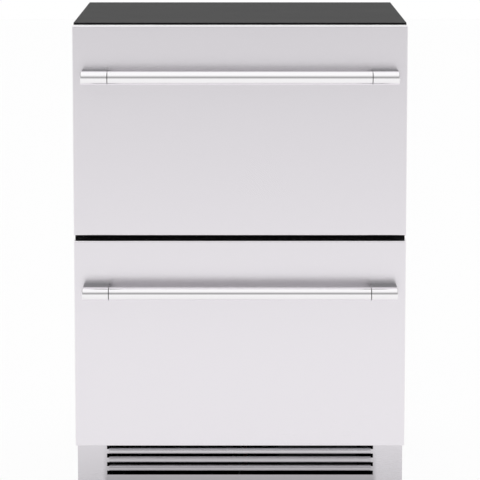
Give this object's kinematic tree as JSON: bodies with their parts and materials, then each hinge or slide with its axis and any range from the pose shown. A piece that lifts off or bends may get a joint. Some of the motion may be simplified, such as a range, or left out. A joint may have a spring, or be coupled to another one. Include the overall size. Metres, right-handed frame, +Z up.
{
  "type": "undercounter drawer refrigerator",
  "caption": "Undercounter refrigerator with stacked stainless drawer fronts, round bar handles and a louvred kick plate; drawers run on telescopic slides.",
  "frame": {"origin": "on the floor, under the middle of the overall width and depth", "axes": "+Z up, -Y the way the drawers open, +X to the right seen from the front"},
  "size_m": [0.595, 0.667, 0.867],
  "materials": {
    "stainless": "satin",
    "dark_paint": "satin",
    "black_paint": "satin",
    "zinc_steel": "satin",
    "white_plastic": "satin",
    "bin_plastic": "satin",
    "dark_plastic": "matte",
    "fin_aluminium": "satin",
    "copper": "satin",
    "foam": "matte",
    "seal_rubber": "matte"
  },
  "bodies": {
    "cabinet": {"top_panel": "dark_paint", "side_panels": "dark_paint", "back_panel": "zinc_steel", "cabinet_floor": "zinc_steel", "foam_insulation": "foam", "upper_liner": "white_plastic", "lower_liner": "white_plastic", "front_frame": "black_paint", "base_pan": "black_paint", "kick_plate": "stainless", "air_baffle": "black_paint", "condenser_coil": "black_paint", "fan_shroud": "dark_plastic", "compressor": "black_paint", "compressor_mounts": "seal_rubber", "relay_cover": "dark_plastic", "drip_tray": "dark_plastic", "drain_tube": "white_plastic", "filter_drier": "copper", "refrigerant_lines": "copper", "rear_cover": "zinc_steel", "cord_gland": "dark_plastic", "power_board_box": "dark_plastic", "upper_evaporator": "fin_aluminium", "lower_evaporator": "fin_aluminium", "upper_duct_cover": "white_plastic", "lower_duct_cover": "white_plastic", "fan_motors": "dark_plastic", "control_panel": "dark_plastic", "room_lamps": "white_plastic", "slide_outers": "zinc_steel"},
    "upper_slide_middles": {"upper_slide_middles": "zinc_steel"},
    "lower_slide_middles": {"lower_slide_middles": "zinc_steel"},
    "condenser_fan": {"condenser_fan": "dark_plastic"},
    "upper_evaporator_fan": {"upper_evaporator_fan": "white_plastic"},
    "lower_evaporator_fan": {"lower_evaporator_fan": "white_plastic"},
    "foot_front_left": {"foot_front_left": "black_paint"},
    "foot_front_right": {"foot_front_right": "black_paint"},
    "foot_rear_left": {"foot_rear_left": "black_paint"},
    "foot_rear_right": {"foot_rear_right": "black_paint"},
    "upper_drawer": {"upper_front_skin": "stainless", "upper_front_inner": "dark_plastic", "upper_front_foam": "foam", "upper_gasket": "seal_rubber", "upper_handle_bar": "stainless", "upper_handle_posts": "stainless", "upper_bin": "bin_plastic", "upper_divider": "white_plastic", "upper_brackets": "zinc_steel", "upper_slide_inners": "zinc_steel"},
    "lower_drawer": {"lower_front_skin": "stainless", "lower_front_inner": "dark_plastic", "lower_front_foam": "foam", "lower_gasket": "seal_rubber", "lower_handle_bar": "stainless", "lower_handle_posts": "stainless", "lower_bin": "bin_plastic", "lower_divider": "white_plastic", "lower_brackets": "zinc_steel", "lower_slide_inners": "zinc_steel"}
  },
  "joints": [
    {"name": "upper_drawer_slide", "type": "slide", "parent": "cabinet", "child": "upper_drawer", "axis": [0, -1, 0], "range_m": [0, 0.4]},
    {"name": "upper_middle_slide", "type": "slide", "parent": "cabinet", "child": "upper_slide_middles", "axis": [0, -1, 0], "range_m": [0, 0.2]},
    {"name": "lower_drawer_slide", "type": "slide", "parent": "cabinet", "child": "lower_drawer", "axis": [0, -1, 0], "range_m": [0, 0.4]},
    {"name": "lower_middle_slide", "type": "slide", "parent": "cabinet", "child": "lower_slide_middles", "axis": [0, -1, 0], "range_m": [0, 0.2]},
    {"name": "condenser_fan_spin", "type": "hinge", "parent": "cabinet", "child": "condenser_fan", "pos_m": [-0.13, 0.1935, 0.1015], "axis": [0, 1, 0], "continuous": true},
    {"name": "upper_evaporator_fan_spin", "type": "hinge", "parent": "cabinet", "child": "upper_evaporator_fan", "pos_m": [0, 0.244, 0.6975], "axis": [0, 1, 0], "continuous": true},
    {"name": "lower_evaporator_fan_spin", "type": "hinge", "parent": "cabinet", "child": "lower_evaporator_fan", "pos_m": [0, 0.244, 0.4125], "axis": [0, 1, 0], "continuous": true},
    {"name": "foot_front_left_screw", "type": "slide", "parent": "cabinet", "child": "foot_front_left", "axis": [0, 0, -1], "range_m": [0, 0.025]},
    {"name": "foot_front_right_screw", "type": "slide", "parent": "cabinet", "child": "foot_front_right", "axis": [0, 0, -1], "range_m": [0, 0.025]},
    {"name": "foot_rear_left_screw", "type": "slide", "parent": "cabinet", "child": "foot_rear_left", "axis": [0, 0, -1], "range_m": [0, 0.025]},
    {"name": "foot_rear_right_screw", "type": "slide", "parent": "cabinet", "child": "foot_rear_right", "axis": [0, 0, -1], "range_m": [0, 0.025]}
  ],
  "couplings": [
    {"joint": "upper_middle_slide", "follows": "upper_drawer_slide", "ratio": 0.5},
    {"joint": "lower_middle_slide", "follows": "lower_drawer_slide", "ratio": 0.5}
  ]
}
